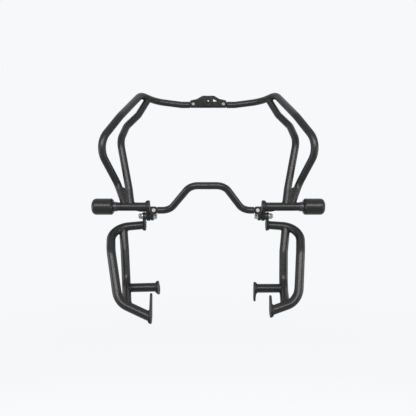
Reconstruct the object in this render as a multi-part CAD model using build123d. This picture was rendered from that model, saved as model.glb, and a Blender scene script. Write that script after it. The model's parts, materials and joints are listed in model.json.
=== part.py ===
"""Motorcycle crash bars: two upper bars, two lower bars, a cross brace and a pair of sliders.

Frame: +X to the rider's right as seen from behind, +Y to the front wheel, +Z up.
Every piece is first drawn about the axis of the two cross tubes (Y = 0, Z = 0) on the +X side,
mirrored for the left, and at the end moved so that the centre bracket's mounting hole is the origin.
"""
from build123d import *

import os
from dataclasses import dataclass
from math import sqrt

# Tube stock
CROSS_TUBE_D = 25.0
UPPER_TUBE_D = 22.0
LOWER_TUBE_D = 25.0
BRACE_TUBE_D = 20.0
TUBE_WALL = 2.0

# Bend radii at the tube axis
UPPER_BEND_R = 60.0
ELBOW_BEND_R = 42.0
LOWER_BEND_R = 54.0
BRACE_BEND_R = 40.0

# Welding: the gap left at a coped end, and the fillet weld round a tube that ends on a plate
WELD_GAP = 0.2
WELD_LEG = 3.5
WELD_TOE = 0.3

# Plate thicknesses
MOUNT_PLATE_T = 8.0
LOWER_PLATE_T = 4.5
BRACKET_T = 7.0
LUG_T = 5.0
CENTRE_T = 5.0
GUSSET_T = 5.0

# Screws: nominal diameter, width across flats, head height and nut height
M10_D = 10.0
M10_FLATS = 16.0
M10_HEAD_H = 8.0
M10_NUT_H = 9.0
M10_FLANGE_D = 21.0
M10_FLANGE_H = 2.0
M8_D = 8.0
M6_D = 6.0
M6_FLATS = 10.0
M6_HEAD_H = 4.5
M6_NUT_H = 5.2
HOLE_CLEARANCE = 0.5
THREAD_GAP = 0.1
THREAD_OVERHANG = 3.0
HEX_CHAMFER = 0.9
SCREW_TIP = 0.9
WASHER_T = 2.0
WASHER_SHARE = 2.1
SEAT_GAP = 0.2

# Upper bars: the outer tube's bends from the centre bracket down to the cross tube
TOP_Y = 215.0
TOP_Z = 353.5
KNEE_RISE = 10.5
KNEE_FORWARD = 3.0
UPPER_OUTER_BENDS = [
    (92.0, TOP_Y, TOP_Z),
    (180.0, TOP_Y - KNEE_FORWARD, TOP_Z + KNEE_RISE),
    (222.0, 140.0, 366.8),
    (261.0, 8.0, 268.0),
    (312.5, -55.0, 173.0),
    (271.0, 22.0, 67.5),
]
UPPER_OUTER_FOOT_X = 243.0

# Upper bars: the inner tube leaves the outer one midway between its second and third bend
INNER_ROOT_SHARE = 0.5
UPPER_INNER_BENDS = [
    (226.0, 120.0, 297.0),
    (255.5, 75.0, 251.0),
    (264.0, 22.0, 197.5),
    (235.5, 12.0, 52.0),
]
UPPER_INNER_FOOT_X = 227.0

# Web between the upper tubes, with its top corners on their axes and its near face ahead of them
WEB_T = 5.0
WEB_FORWARD = 8.5
WEB_OUTER_TOP = 60.0
WEB_INNER_TOP = 46.0

# Cross tube, its slider and what holds the slider on
CROSS_TUBE_END_X = 265.0
COLLAR_L = 14.0
COLLAR_D = 28.0
COLLAR_NECK_D = 22.0
COLLAR_NECK_L = 2.5
PUCK_L = 61.5
PUCK_D = 48.0
PUCK_NOSE_R = 12.0
PUCK_HEEL = 4.5
PUCK_RECESS_D = 24.0
PUCK_RECESS_DEPTH = 24.0
PLUG_L = 26.0
SLIDER_HEAD_D = 16.0
SLIDER_HEAD_H = 10.0
SLIDER_SOCKET_FLATS = 8.0
SLIDER_SOCKET_DEPTH = 5.0

# Side joint: one M10 bolt along X through the lower bar, the upper bar and the brace bracket
JOINT_Y = 8.0
JOINT_Z = -28.0
PLATE_SPACER_L = 7.0
BRACKET_SPACER_L = 4.0
JOINT_SPACER_D = 22.0
MOUNT_PLATE_TOP_R = 18.5
MOUNT_PLATE_JOINT_R = 14.0
TONGUE_JOINT_R = 12.0
BRACKET_JOINT_R = 13.0
GUSSET_L = 30.0
GUSSET_FLAT = 18.0
GUSSET_DROP = 2.7

# Cross brace and the folded bracket that carries each end of it
BRACE_Z = -10.5
BRACE_HUMP_Y = -85.0
BRACE_HUMP_Z = 57.0
BRACE_FOOT_X = {"left": 111.5, "right": 100.0}
BRACE_HUMP_X = {"left": 49.5, "right": 44.0}
BRACKET_FRONT_Y = -21.0
BRACKET_LEG_H = 22.0
BRACKET_FOLD_R = 6.0
BRACKET_CORNER_R = 7.0
BRACE_SCREW_INSET = 5.5
BRACE_SCREW_EDGE = 8.5
BRACE_END_SPACE = 12.5
TONGUE_INSERT = 5.0
END_CAP_T = 2.5

# Centre bracket, with heights from the axis of the tubes that it joins
CENTRE_TOP = 30.0
CENTRE_BOTTOM = -11.0
CENTRE_TOP_HALF = 20.0
CENTRE_SHOULDER_HALF = 38.5
CENTRE_SHOULDER = 19.0
CENTRE_EAR_HALF = 62.5
CENTRE_EAR = 13.5
CENTRE_CORNER_R = 4.0
CENTRE_BODY_RISE = 3.0
CENTRE_BODY_EDGE = 3.0
CENTRE_BOSS_D = 28.0
CENTRE_BOSS_RISE = 5.0
CENTRE_HOLE_UP = 12.0
CENTRE_SCREW_EDGE = 10.5
CENTRE_WINDOW = [(16.5, 19.5), (33.0, 11.0), (17.5, 8.5)]
CENTRE_WINDOW_R = 1.0
CENTRE_END_GAP = 4.0
LUG_INSERT = 22.0
LUG_EYE_R = 9.0

# Lower bars: plate sizes that both sides share
ARM_Y = 25.0
ARM_Z = -55.0
ARM_PLATE_R = 17.0
MID_PLATE_R = 18.0
MID_EYE_R = 12.5
BOTTOM_PLATE_R = 18.5
BOTTOM_EYE_R = 10.0

SIGNS = {"left": -1, "right": 1}


@dataclass
class LowerBar:
    """What differs between the two lower bars, as distances on the +X side."""

    joint_x: float
    outer_bends: list
    outer_end: tuple
    inner_root_x: float
    inner_bends: list
    inner_foot_x: float
    branch_share: float
    branch_end: tuple
    mid_eye: tuple
    bottom_eye: tuple


LOWER_BARS = {
    "left": LowerBar(
        joint_x=181.0,
        outer_bends=[(287.0, 5.0, -63.0), (271.0, -65.0, -121.0), (242.0, -105.0, -256.0)],
        outer_end=(154.0, -127.5, -289.7),
        inner_root_x=253.0,
        inner_bends=[(245.5, 0.0, -127.5), (238.5, -12.0, -228.0)],
        inner_foot_x=217.0,
        branch_share=0.672,
        branch_end=(146.0, -40.0, -229.0),
        mid_eye=(-12.0, -243.0),
        bottom_eye=(-118.0, -240.0),
    ),
    "right": LowerBar(
        joint_x=166.0,
        outer_bends=[(272.0, 5.0, -61.0), (259.0, -55.0, -122.0), (245.0, -92.0, -256.5)],
        outer_end=(169.5, -110.0, -278.0),
        inner_root_x=231.0,
        inner_bends=[(221.5, 0.0, -133.5), (219.0, -10.0, -229.0)],
        inner_foot_x=207.0,
        branch_share=0.695,
        branch_end=(134.0, -42.0, -232.0),
        mid_eye=(-34.0, -258.0),
        bottom_eye=(-102.0, -249.0),
    ),
}


# Tubes

def axis_path(points, bend_r):
    """The axis of a bent tube: straight runs joined by tangent arcs."""
    if len(points) == 2:
        return Polyline(*points)
    return FilletPolyline(*points, radius=bend_r)


def rod(points, radius, bend_r=0.0):
    """A solid bar along the axis, used to make tubes and to cope other tubes to them."""
    path = axis_path(points, bend_r)
    return sweep(Plane(origin=path @ 0, z_dir=path % 0) * Circle(radius), path=path)


def tube(points, diameter, bend_r=0.0):
    """A hollow tube along the axis."""
    return rod(points, diameter / 2, bend_r) - rod(points, diameter / 2 - TUBE_WALL, bend_r)


def cope_cutter(points, diameter, bend_r=0.0):
    """What a tube takes out of another one that is welded to its side."""
    return rod(points, diameter / 2 + WELD_GAP, bend_r)


def on_run(start, end, x):
    """The point at x on the straight run between two points."""
    share = (x - start[0]) / (end[0] - start[0])
    return tuple(a + share * (b - a) for a, b in zip(start, end))


def at_height(start, end, z):
    """The point at height z on the straight run between two points."""
    share = (z - start[2]) / (end[2] - start[2])
    return tuple(a + share * (b - a) for a, b in zip(start, end))


def run_past(start, end, extra):
    """The point that lies past the end of a run, so that a plate can cut the tube off."""
    step = Vector(*end) - Vector(*start)
    return tuple(Vector(*end) + step.normalized() * extra)


def beyond(shape, plate_x):
    """What lies outboard of a plate's outer face."""
    return split(shape, bisect_by=Plane.YZ.offset(plate_x), keep=Keep.TOP)


def weld_skirt(start, end, diameter, plate_x):
    """The fillet weld round a tube's last run where it ends on a plate."""
    foot = section(rod([start, end], diameter / 2 + WELD_LEG), section_by=Plane.YZ.offset(plate_x))
    toe_plane = Plane.YZ.offset(plate_x + WELD_LEG)
    toe = section(rod([start, end], diameter / 2 + WELD_TOE), section_by=toe_plane)
    return loft([foot.face(), toe.face()], ruled=True) - rod([start, end], diameter / 2 - TUBE_WALL)


# Plates and fasteners

def strap_outline(end_a, radius_a, end_b, radius_b):
    """A strap with two round ends, in the plane of its plate."""
    ends = Pos(*end_a) * Circle(radius_a) + Pos(*end_b) * Circle(radius_b)
    return make_hull(ends.edges())


def side_plate(outline, inner_x, thickness):
    """A plate that faces along X, from its inner face outwards."""
    return extrude(Plane.YZ.offset(inner_x) * outline, amount=thickness, dir=(1, 0, 0))


def front_plate(outline, front_y, thickness):
    """A plate that faces along Y, from its near face away."""
    return extrude(Plane.XZ.offset(-front_y) * outline, amount=thickness, dir=(0, 1, 0))


def hole(diameter):
    return Circle(diameter / 2 + HOLE_CLEARANCE / 2)


def along_x(x, y, z, outwards=True):
    """A placement whose local Z runs along X."""
    return Plane(origin=(x, y, z), x_dir=(0, 1, 0), z_dir=(1 if outwards else -1, 0, 0))


def along_y(x, y, z, away=True):
    """A placement whose local Z runs along Y."""
    return Plane(origin=(x, y, z), x_dir=(1, 0, 0), z_dir=(0, 1 if away else -1, 0))


def disc(diameter, height):
    """A round disc that stands on its placement's plane."""
    return extrude(Circle(diameter / 2), amount=height)


def hexagon(flats, height):
    """A hexagon with its corners turned off at the far end, as on a bolt head or nut."""
    prism = extrude(RegularPolygon(flats / 2, 6, major_radius=False), amount=height)
    dome = chamfer(disc(flats * 2 / sqrt(3), height).edges().sort_by(Axis.Z)[-1], HEX_CHAMFER)
    return prism & dome


def bolt(diameter, flats, head_h, shank_l, flange_d=0.0, flange_h=0.0):
    """A hexagon bolt: its head stands on the seat plane and its shank runs below it."""
    head = hexagon(flats, head_h)
    if flange_d:
        head += extrude(Circle(flange_d / 2), amount=flange_h, taper=20)
    shank = Pos(0, 0, -shank_l) * disc(diameter, shank_l)
    return head + chamfer(shank.edges().sort_by(Axis.Z)[0], SCREW_TIP)


def nut(diameter, flats, height):
    return hexagon(flats, height) - disc(diameter + 2 * THREAD_GAP, height)


def washer(diameter):
    ring = Circle(WASHER_SHARE * diameter / 2) - hole(diameter)
    return extrude(ring, amount=WASHER_T)


def ring_spacer(length):
    return extrude(Circle(JOINT_SPACER_D / 2) - hole(M10_D), amount=length)


def bore_fit_width(bore_r, thickness):
    """The widest flat bar of a thickness that goes into a round bore."""
    return 2 * sqrt(bore_r ** 2 - (thickness / 2) ** 2) - 2 * SEAT_GAP


# Where things lie, worked out from the sizes above

CROSS_AXIS_END = (CROSS_TUBE_END_X, 0.0, 0.0)
CROSS_AXIS = [(0.0, 0.0, 0.0), CROSS_AXIS_END]
CENTRE_TUBE_END_X = CENTRE_EAR_HALF + CENTRE_END_GAP
CENTRE_SCREW_X = CENTRE_EAR_HALF - CENTRE_SCREW_EDGE
UPPER_OUTER_R = [UPPER_BEND_R] * (len(UPPER_OUTER_BENDS) - 1) + [ELBOW_BEND_R]
UPPER_OUTER = [(CENTRE_TUBE_END_X, TOP_Y, TOP_Z), *UPPER_OUTER_BENDS, (UPPER_OUTER_FOOT_X, 0.0, 0.0)]
INNER_ROOT = tuple(
    a + INNER_ROOT_SHARE * (b - a) for a, b in zip(UPPER_OUTER_BENDS[1], UPPER_OUTER_BENDS[2])
)
UPPER_INNER = [INNER_ROOT, *UPPER_INNER_BENDS, (UPPER_INNER_FOOT_X, 0.0, 0.0)]
BRACE_Y = BRACKET_FRONT_Y - LUG_T / 2
CENTRE_FRONT_Y = TOP_Y - LUG_T / 2 - CENTRE_T
FRAME_ORIGIN = (0.0, CENTRE_FRONT_Y - CENTRE_BOSS_RISE, TOP_Z + CENTRE_HOLE_UP)


def arm_face_x(joint_x):
    """The outer face of the lower bar's top plate, which a spacer keeps off the mount plate."""
    return joint_x + PLATE_SPACER_L + LOWER_PLATE_T


def bracket_face_x(side):
    """The bolt-head side of the brace bracket at a side's joint."""
    return LOWER_BARS[side].joint_x - MOUNT_PLATE_T - BRACKET_SPACER_L - BRACKET_T


def brace_screw_x(side):
    return bracket_face_x(side) - BRACE_SCREW_INSET


def brace_end_x(side):
    return brace_screw_x(side) - BRACE_END_SPACE


# Upper bars

def cross_tube(joint_x):
    body = tube([(joint_x, 0.0, 0.0), CROSS_AXIS_END], CROSS_TUBE_D)
    return body + weld_skirt(*CROSS_AXIS, CROSS_TUBE_D, joint_x)


def upper_outer_tube():
    whole = tube(UPPER_OUTER, UPPER_TUBE_D, UPPER_OUTER_R)
    return whole - cope_cutter(CROSS_AXIS, CROSS_TUBE_D)


def upper_inner_tube():
    whole = tube(UPPER_INNER, UPPER_TUBE_D, UPPER_BEND_R)
    whole -= cope_cutter(CROSS_AXIS, CROSS_TUBE_D)
    return whole - cope_cutter(UPPER_OUTER, UPPER_TUBE_D, UPPER_OUTER_R)


def upper_mount_plate(joint_x):
    joint = (JOINT_Y, JOINT_Z)
    outline = strap_outline((0, 0), MOUNT_PLATE_TOP_R, joint, MOUNT_PLATE_JOINT_R) - Pos(*joint) * hole(M10_D)
    return side_plate(outline, joint_x - MOUNT_PLATE_T, MOUNT_PLATE_T)


def gusset(joint_x):
    """A web under the cross tube, cut to the tube and to its weld."""
    low = -CROSS_TUBE_D / 2 - GUSSET_DROP
    outline = Polygon(
        (joint_x, 0), (joint_x + GUSSET_L, 0), (joint_x + GUSSET_L, -CROSS_TUBE_D / 2),
        (joint_x + GUSSET_FLAT, low), (joint_x, low), align=None,
    )
    web = extrude(Plane.XZ * outline, amount=GUSSET_T / 2, both=True)
    web -= cope_cutter(CROSS_AXIS, CROSS_TUBE_D)
    return web - weld_skirt(*CROSS_AXIS, CROSS_TUBE_D, joint_x)


def upper_web():
    """The plate that closes the corner between both upper tubes and the cross tube."""
    outer_foot, inner_foot = UPPER_OUTER[-1], UPPER_INNER[-1]
    outer_top = at_height(UPPER_OUTER[-2], outer_foot, WEB_OUTER_TOP)
    inner_top = at_height(UPPER_INNER[-2], inner_foot, WEB_INNER_TOP)
    lean = Vector(0, outer_top[1], outer_top[2]).normalized()
    plane = Plane(origin=(0, 0, 0), x_dir=(1, 0, 0), z_dir=Vector(1, 0, 0).cross(lean))
    corners = [plane.to_local_coords(Vector(*point)) for point in (outer_foot, outer_top, inner_top, inner_foot)]
    outline = Polygon(*[(corner.X, corner.Y) for corner in corners], align=None)
    web = extrude(plane.offset(WEB_FORWARD - WEB_T) * outline, amount=WEB_T, dir=plane.z_dir)
    web -= cope_cutter(CROSS_AXIS, CROSS_TUBE_D)
    web -= cope_cutter(UPPER_OUTER, UPPER_TUBE_D, UPPER_OUTER_R)
    return web - cope_cutter(UPPER_INNER, UPPER_TUBE_D, UPPER_BEND_R)


def end_lug():
    """The capped tongue in the upper outer tube's end, with an eye for the centre bracket's screw."""
    width = bore_fit_width(UPPER_TUBE_D / 2 - TUBE_WALL, LUG_T)
    tail_x = CENTRE_TUBE_END_X + LUG_INSERT
    outline = Pos(CENTRE_SCREW_X, 0) * Circle(LUG_EYE_R)
    outline += Pos((CENTRE_SCREW_X + tail_x) / 2, 0) * Rectangle(tail_x - CENTRE_SCREW_X, width)
    outline -= Pos(CENTRE_SCREW_X, 0) * hole(M6_D)
    lug = front_plate(Pos(0, TOP_Z) * outline, TOP_Y - LUG_T / 2, LUG_T)
    cap = along_x(CENTRE_TUBE_END_X, TOP_Y, TOP_Z, outwards=False) * disc(UPPER_TUBE_D, END_CAP_T)
    return lug + cap


# Sliders

def slider_plug():
    """The tapped plug welded into the cross tube's outer end."""
    plug = disc(CROSS_TUBE_D - 2 * TUBE_WALL - 2 * SEAT_GAP, PLUG_L) - disc(M10_D + 2 * THREAD_GAP, PLUG_L)
    return along_x(CROSS_TUBE_END_X - PLUG_L, 0, 0) * plug


def slider_collar():
    neck = disc(COLLAR_NECK_D, COLLAR_L)
    body = Pos(0, 0, COLLAR_NECK_L) * disc(COLLAR_D, COLLAR_L - COLLAR_NECK_L)
    body = chamfer(body.edges(), COLLAR_NECK_L / 4)
    return along_x(CROSS_TUBE_END_X, 0, 0) * (neck + body - extrude(hole(M10_D), amount=COLLAR_L))


def slider_puck():
    body = disc(PUCK_D, PUCK_L)
    rims = body.edges().sort_by(Axis.Z)
    body = fillet(rims[-1], PUCK_NOSE_R)
    body = chamfer(body.edges().sort_by(Axis.Z)[0], PUCK_HEEL)
    body -= extrude(hole(M10_D), amount=PUCK_L)
    body -= Pos(0, 0, PUCK_L - PUCK_RECESS_DEPTH) * disc(PUCK_RECESS_D, PUCK_RECESS_DEPTH)
    return along_x(CROSS_TUBE_END_X + COLLAR_L, 0, 0) * body


def slider_seat_x():
    return CROSS_TUBE_END_X + COLLAR_L + PUCK_L - PUCK_RECESS_DEPTH


def slider_washer():
    return along_x(slider_seat_x(), 0, 0) * washer(M10_D)


def slider_bolt():
    """A socket head screw that goes through the puck and the collar into the plug."""
    head = chamfer(disc(SLIDER_HEAD_D, SLIDER_HEAD_H).edges().sort_by(Axis.Z)[-1], HEX_CHAMFER)
    socket = RegularPolygon(SLIDER_SOCKET_FLATS / 2, 6, major_radius=False)
    socket_floor = Pos(0, 0, SLIDER_HEAD_H - SLIDER_SOCKET_DEPTH)
    head -= socket_floor * extrude(socket, amount=SLIDER_SOCKET_DEPTH)
    seat_x = slider_seat_x() + WASHER_T
    shank_l = seat_x - CROSS_TUBE_END_X + PLUG_L - THREAD_OVERHANG
    shank = chamfer(disc(M10_D, shank_l).edges().sort_by(Axis.Z)[0], SCREW_TIP)
    return along_x(seat_x, 0, 0) * (head + Pos(0, 0, -shank_l) * shank)


# Side joints

def joint_bolt(side):
    grip = arm_face_x(LOWER_BARS[side].joint_x) - bracket_face_x(side) + 2 * WASHER_T
    shank_l = grip + M10_NUT_H + THREAD_OVERHANG
    seat = along_x(bracket_face_x(side) - WASHER_T, JOINT_Y, JOINT_Z, outwards=False)
    return seat * bolt(M10_D, M10_FLATS, M10_HEAD_H, shank_l, M10_FLANGE_D, M10_FLANGE_H)


def joint_nut(side):
    nut_x = arm_face_x(LOWER_BARS[side].joint_x) + WASHER_T
    return along_x(nut_x, JOINT_Y, JOINT_Z) * nut(M10_D, M10_FLATS, M10_NUT_H)


def joint_washers(side):
    head_side = along_x(bracket_face_x(side) - WASHER_T, JOINT_Y, JOINT_Z)
    nut_side = along_x(arm_face_x(LOWER_BARS[side].joint_x), JOINT_Y, JOINT_Z)
    return [head_side * washer(M10_D), nut_side * washer(M10_D)]


def joint_spacers(side):
    """One spacer on each side of the upper mount plate."""
    at_bracket = along_x(bracket_face_x(side) + BRACKET_T, JOINT_Y, JOINT_Z)
    at_plate = along_x(LOWER_BARS[side].joint_x, JOINT_Y, JOINT_Z)
    return [at_bracket * ring_spacer(BRACKET_SPACER_L), at_plate * ring_spacer(PLATE_SPACER_L)]


def brace_bracket(side):
    """A folded bracket: one leg on the side joint, one across the end of the brace."""
    face_x = bracket_face_x(side)
    leg_back_y = BRACKET_FRONT_Y + BRACKET_T
    fold = Pos(leg_back_y, BRACE_Z) * Rectangle(2 * BRACKET_T, BRACKET_LEG_H)
    eye = Pos(JOINT_Y, JOINT_Z) * Circle(BRACKET_JOINT_R)
    side_leg = make_hull((fold + eye).edges()) - Pos(JOINT_Y, JOINT_Z) * hole(M10_D)
    bracket = side_plate(side_leg, face_x, BRACKET_T)
    inner_x = brace_screw_x(side) - BRACE_SCREW_EDGE
    outer_x = face_x + BRACKET_T
    front_leg = Pos((inner_x + outer_x) / 2, BRACE_Z) * Rectangle(outer_x - inner_x, BRACKET_LEG_H)
    front_leg = fillet(front_leg.vertices().group_by(Axis.X)[0], BRACKET_CORNER_R)
    front_leg -= Pos(brace_screw_x(side), BRACE_Z) * hole(M6_D)
    bracket += front_plate(front_leg, BRACKET_FRONT_Y, BRACKET_T)
    corner = bracket.edges().filter_by(Axis.Z).sort_by(lambda edge: edge.center().X - edge.center().Y)[-1]
    return fillet(corner, BRACKET_FOLD_R)


# Cross brace

def cross_brace_axis():
    left, right = -1, 1
    return [
        (left * brace_end_x("left"), BRACE_Y, BRACE_Z),
        (left * BRACE_FOOT_X["left"], BRACE_Y, BRACE_Z),
        (left * BRACE_HUMP_X["left"], BRACE_HUMP_Y, BRACE_HUMP_Z),
        (right * BRACE_HUMP_X["right"], BRACE_HUMP_Y, BRACE_HUMP_Z),
        (right * BRACE_FOOT_X["right"], BRACE_Y, BRACE_Z),
        (right * brace_end_x("right"), BRACE_Y, BRACE_Z),
    ]


def brace_tongue(side):
    """The capped tongue in the end of the brace, with an eye for its screw."""
    width = bore_fit_width(BRACE_TUBE_D / 2 - TUBE_WALL, LUG_T)
    screw_x = brace_screw_x(side)
    tail_x = brace_end_x(side) - TONGUE_INSERT
    outline = Pos(screw_x, 0) * Circle(BRACE_SCREW_EDGE - SEAT_GAP)
    outline += Pos((screw_x + tail_x) / 2, 0) * Rectangle(screw_x - tail_x, width)
    outline -= Pos(screw_x, 0) * hole(M6_D)
    tongue = front_plate(Pos(0, BRACE_Z) * outline, BRACE_Y - LUG_T / 2, LUG_T)
    return tongue + along_x(brace_end_x(side), BRACE_Y, BRACE_Z) * disc(BRACE_TUBE_D, END_CAP_T)


def brace_screw(side):
    seat = along_y(brace_screw_x(side), BRACE_Y - LUG_T / 2 - WASHER_T, BRACE_Z, away=False)
    return seat * bolt(M6_D, M6_FLATS, M6_HEAD_H, WASHER_T + LUG_T + BRACKET_T)


def brace_washer(side):
    return along_y(brace_screw_x(side), BRACE_Y - LUG_T / 2 - WASHER_T, BRACE_Z) * washer(M6_D)


# Centre bracket

def mirrored_outline(half):
    """An outline that is the same on both sides of the middle, from the points of its right half."""
    return Polygon(*half, *[(-x, z) for x, z in reversed(half)], align=None)


def centre_bracket():
    """A plate with a raised body, a boss round its mounting hole, a window and two screw holes."""
    body_half = [(CENTRE_TOP_HALF, CENTRE_TOP), (CENTRE_SHOULDER_HALF, CENTRE_SHOULDER)]
    ear_half = [(CENTRE_EAR_HALF, CENTRE_EAR), (CENTRE_EAR_HALF, CENTRE_BOTTOM)]
    foot_half = [(CENTRE_SHOULDER_HALF, CENTRE_BOTTOM)]
    outline = fillet(mirrored_outline(body_half + ear_half).vertices(), CENTRE_CORNER_R)
    body = offset(mirrored_outline(body_half + foot_half), amount=-CENTRE_BODY_EDGE)
    window = fillet(Polygon(*CENTRE_WINDOW, align=None).vertices(), CENTRE_WINDOW_R)
    boss = Pos(0, CENTRE_HOLE_UP) * Circle(CENTRE_BOSS_D / 2)
    plate = front_plate(Pos(0, TOP_Z) * outline, CENTRE_FRONT_Y, CENTRE_T)
    plate += front_plate(Pos(0, TOP_Z) * body, CENTRE_FRONT_Y - CENTRE_BODY_RISE, CENTRE_BODY_RISE)
    plate += front_plate(Pos(0, TOP_Z) * boss, CENTRE_FRONT_Y - CENTRE_BOSS_RISE, CENTRE_BOSS_RISE)
    holes = window + Pos(0, CENTRE_HOLE_UP) * hole(M6_D)
    for sign in SIGNS.values():
        holes += Pos(sign * CENTRE_SCREW_X, 0) * hole(M6_D)
    depth = CENTRE_BOSS_RISE + CENTRE_T
    return plate - front_plate(Pos(0, TOP_Z) * holes, CENTRE_FRONT_Y - CENTRE_BOSS_RISE, depth)


def centre_screw():
    seat = along_y(CENTRE_SCREW_X, CENTRE_FRONT_Y - WASHER_T, TOP_Z, away=False)
    return seat * bolt(M6_D, M6_FLATS, M6_HEAD_H, WASHER_T + CENTRE_T + LUG_T + M6_NUT_H + THREAD_OVERHANG)


def centre_nut():
    return along_y(CENTRE_SCREW_X, TOP_Y + LUG_T / 2, TOP_Z) * nut(M6_D, M6_FLATS, M6_NUT_H)


def centre_washer():
    return along_y(CENTRE_SCREW_X, CENTRE_FRONT_Y - WASHER_T, TOP_Z) * washer(M6_D)


# Lower bars

def lower_bar(bar):
    """The three tubes and three plates of one lower bar."""
    arm_x = arm_face_x(bar.joint_x)
    arm_start = (arm_x, ARM_Y, ARM_Z)
    top_bend, _, low_bend = bar.outer_bends
    end_x = bar.outer_end[0]
    outer_axis = [
        run_past(top_bend, arm_start, LOWER_TUBE_D), *bar.outer_bends,
        run_past(low_bend, bar.outer_end, LOWER_TUBE_D),
    ]
    inner_axis = [
        on_run(arm_start, top_bend, bar.inner_root_x), *bar.inner_bends,
        on_run(low_bend, bar.outer_end, bar.inner_foot_x),
    ]
    branch_root = tuple(axis_path(inner_axis, LOWER_BEND_R) @ bar.branch_share)
    branch_x = bar.branch_end[0]
    branch_axis = [branch_root, run_past(branch_root, bar.branch_end, LOWER_TUBE_D)]

    outer = beyond(tube(outer_axis, LOWER_TUBE_D, LOWER_BEND_R), min(arm_x, end_x))
    if arm_x > end_x:
        outer -= cut_block(arm_x, ARM_Z)
    else:
        outer -= cut_block(end_x, bar.outer_end[2])
    outer += weld_skirt(outer_axis[0], top_bend, LOWER_TUBE_D, arm_x)
    outer += weld_skirt(outer_axis[-1], low_bend, LOWER_TUBE_D, end_x)
    outer_cutter = cope_cutter(outer_axis, LOWER_TUBE_D, LOWER_BEND_R)
    inner = tube(inner_axis, LOWER_TUBE_D, LOWER_BEND_R) - outer_cutter
    branch = beyond(tube(branch_axis, LOWER_TUBE_D), branch_x)
    branch += weld_skirt(branch_axis[1], branch_axis[0], LOWER_TUBE_D, branch_x)
    branch -= cope_cutter(inner_axis, LOWER_TUBE_D, LOWER_BEND_R)

    return {
        "outer_tube": outer,
        "inner_tube": inner,
        "branch_tube": branch,
        "top_plate": lower_plate(
            (ARM_Y, ARM_Z), ARM_PLATE_R, (JOINT_Y, JOINT_Z), TONGUE_JOINT_R, arm_x, M10_D),
        "mid_plate": lower_plate(
            bar.branch_end[1:], MID_PLATE_R, bar.mid_eye, MID_EYE_R, branch_x, M10_D),
        "bottom_plate": lower_plate(
            bar.outer_end[1:], BOTTOM_PLATE_R, bar.bottom_eye, BOTTOM_EYE_R, end_x, M8_D),
    }


def cut_block(face_x, near_z):
    """A block that takes off what a tube leaves inboard of one plate, beside that plate alone."""
    size = 4 * LOWER_TUBE_D
    return Pos(face_x - size / 2, 0, near_z) * Box(size, 2 * size + 2 * TOP_Y, size)


def lower_plate(tube_end, tube_r, eye, eye_r, outer_x, bolt_d):
    """A strap plate with a tube welded to one end and a bolt eye in the other."""
    outline = strap_outline(tube_end, tube_r, eye, eye_r) - Pos(*eye) * hole(bolt_d)
    return side_plate(outline, outer_x - LOWER_PLATE_T, LOWER_PLATE_T)


# The whole set

def on_side(side, shape):
    """A piece drawn on the +X side, put on its own side."""
    return shape if SIGNS[side] > 0 else mirror(shape, about=Plane.YZ)


def on_both(maker):
    """A group of one like piece on each side."""
    return [on_side(side, maker(side)) for side in SIGNS]


def build():
    nodes = {}
    for side in SIGNS:
        bar = LOWER_BARS[side]
        pieces = {
            f"upper_{side}_outer_tube": upper_outer_tube(),
            f"upper_{side}_inner_tube": upper_inner_tube(),
            f"{side}_cross_tube": cross_tube(bar.joint_x),
            f"upper_{side}_mount_plate": upper_mount_plate(bar.joint_x),
            f"{side}_gusset": gusset(bar.joint_x),
            f"upper_{side}_web": upper_web(),
            f"upper_{side}_end_lug": end_lug(),
            f"{side}_slider_puck": slider_puck(),
            f"{side}_slider_collar": slider_collar(),
            f"{side}_slider_plug": slider_plug(),
            f"{side}_brace_bracket": brace_bracket(side),
            f"cross_brace_{side}_tongue": brace_tongue(side),
        }
        pieces |= {f"lower_{side}_{name}": shape for name, shape in lower_bar(bar).items()}
        nodes |= {name: [on_side(side, shape)] for name, shape in pieces.items()}
    nodes["cross_brace_tube"] = [tube(cross_brace_axis(), BRACE_TUBE_D, BRACE_BEND_R)]
    nodes["centre_bracket"] = [centre_bracket()]
    nodes["centre_screws"] = on_both(lambda side: centre_screw())
    nodes["centre_nuts"] = on_both(lambda side: centre_nut())
    nodes["centre_washers"] = on_both(lambda side: centre_washer())
    nodes["slider_bolts"] = on_both(lambda side: slider_bolt())
    nodes["slider_washers"] = on_both(lambda side: slider_washer())
    nodes["brace_screws"] = on_both(brace_screw)
    nodes["brace_washers"] = on_both(brace_washer)
    nodes["joint_bolts"] = on_both(joint_bolt)
    nodes["joint_nuts"] = on_both(joint_nut)
    nodes["joint_spacers"] = [on_side(side, ring) for side in SIGNS for ring in joint_spacers(side)]
    nodes["joint_washers"] = [on_side(side, ring) for side in SIGNS for ring in joint_washers(side)]
    return nodes


def main():
    os.makedirs("parts", exist_ok=True)
    to_origin = Pos(*[-value for value in FRAME_ORIGIN])
    for name, shapes in build().items():
        solids = [to_origin * solid for shape in shapes for solid in shape.solids()]
        node = solids[0] if len(solids) == 1 else Compound(children=solids)
        export_step(node, f"parts/{name}.step")


main()
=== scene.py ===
"""Dresses a set of motorcycle crash bars: powder coat, sliders, zinc fasteners, weld beads and a studio."""
import json
from math import ceil, hypot, pi, radians, sin, sqrt
from typing import NamedTuple

import bmesh
import bpy
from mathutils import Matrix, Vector
from mathutils.bvhtree import BVHTree


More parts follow.
